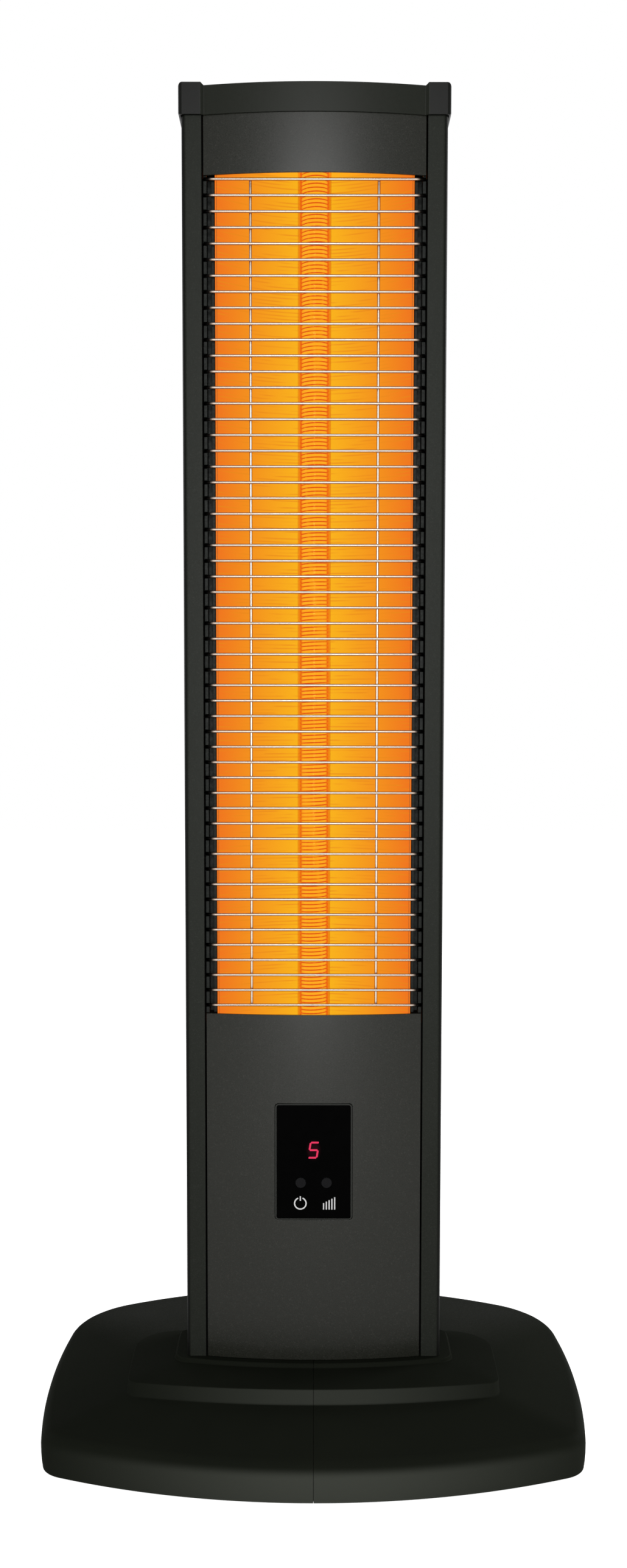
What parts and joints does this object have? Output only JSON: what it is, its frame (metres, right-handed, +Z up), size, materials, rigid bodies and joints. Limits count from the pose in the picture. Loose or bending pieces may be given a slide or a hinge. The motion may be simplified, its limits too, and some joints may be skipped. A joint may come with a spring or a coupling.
{
  "type": "infrared tower heater",
  "caption": "Slim floor-standing infrared tower heater: a glowing wound element in a quartz tube behind a chrome wire guard, with a smoked display, on a wide bowed base.",
  "frame": {"origin": "on the floor under the middle of the base, at the bottom centre of the bounding box", "axes": "+Z up along the column, +X to the right as seen from the front, +Y to the back; the guard faces -Y"},
  "size_m": [0.344, 0.294, 0.8291],
  "materials": {
    "dark_coat": "fine-textured anthracite powder coat",
    "panel_coat": "fine-textured anthracite powder coat with a faint sparkle",
    "black_moulding": "fine-grained black moulding",
    "black_channel": "satin black coated steel",
    "zinc_sheet": "zinc-plated sheet steel",
    "sink_aluminium": "plain extruded aluminium",
    "guard_wire": "bright chrome-plated steel wire",
    "reflector_sheet": "polished sheet lit amber by the element",
    "quartz": "clear fused quartz",
    "glowing_coil": "resistance wire glowing orange",
    "ceramic": "unglazed white ceramic",
    "smoked_window": "smoked glossy pane",
    "board_green": "solder-masked circuit board",
    "component_black": "black component housing",
    "terminal_white": "off-white moulding",
    "button_smoke": "smoked translucent key",
    "silicone_lead": "red silicone-covered lead",
    "dark_rubber": "matt black rubber",
    "black_screw": "black zinc-plated screw"
  },
  "bodies": {
    "heater": {"base_left": "black_moulding", "base_right": "black_moulding", "base_screw_front_left": "black_screw", "base_screw_front_right": "black_screw", "base_screw_rear_left": "black_screw", "base_screw_rear_right": "black_screw", "bracket_screw_left": "black_screw", "bracket_screw_right": "black_screw", "cable_gland": "black_moulding", "clamp_plate": "zinc_sheet", "control_board": "board_green", "cover_screw_lower_left": "black_screw", "cover_screw_lower_right": "black_screw", "cover_screw_upper_left": "black_screw", "cover_screw_upper_right": "black_screw", "digit_module": "component_black", "display_bezel": "black_moulding", "display_window": "smoked_window", "foot_bracket": "zinc_sheet", "grille_channel_left": "black_channel", "grille_channel_right": "black_channel", "guard_grille": "guard_wire", "header_panel": "panel_coat", "heat_sink": "sink_aluminium", "heating_coil": "glowing_coil", "infrared_receiver": "component_black", "level_switch": "component_black", "lower_ceramic_cap": "ceramic", "lower_end_plate": "zinc_sheet", "lower_front_panel": "panel_coat", "lower_lead": "silicone_lead", "power_board": "board_green", "power_relay": "component_black", "power_switch": "component_black", "quartz_tube": "quartz", "rear_cover": "dark_coat", "reflector": "reflector_sheet", "rubber_foot_front_left": "dark_rubber", "rubber_foot_front_right": "dark_rubber", "rubber_foot_rear_left": "dark_rubber", "rubber_foot_rear_right": "dark_rubber", "service_cover": "dark_coat", "service_screw_lower_left": "black_screw", "service_screw_lower_right": "black_screw", "service_screw_upper_left": "black_screw", "service_screw_upper_right": "black_screw", "side_profile_left": "dark_coat", "side_profile_right": "dark_coat", "terminal_block": "terminal_white", "thermal_cutout": "component_black", "tilt_switch": "component_black", "top_cap": "black_moulding", "triac": "component_black", "upper_ceramic_cap": "ceramic", "upper_end_plate": "zinc_sheet", "upper_lead": "silicone_lead"},
    "power_button": {"power_button": "button_smoke", "power_switch_stem": "terminal_white"},
    "level_button": {"level_button": "button_smoke", "level_switch_stem": "terminal_white"}
  },
  "joints": [
    {"name": "power_button_press", "type": "slide", "parent": "heater", "child": "power_button", "axis": [0, 1, 0], "range_m": [0, 0.0006], "stiffness_N_per_m": 600},
    {"name": "level_button_press", "type": "slide", "parent": "heater", "child": "level_button", "axis": [0, 1, 0], "range_m": [0, 0.0006], "stiffness_N_per_m": 600}
  ]
}
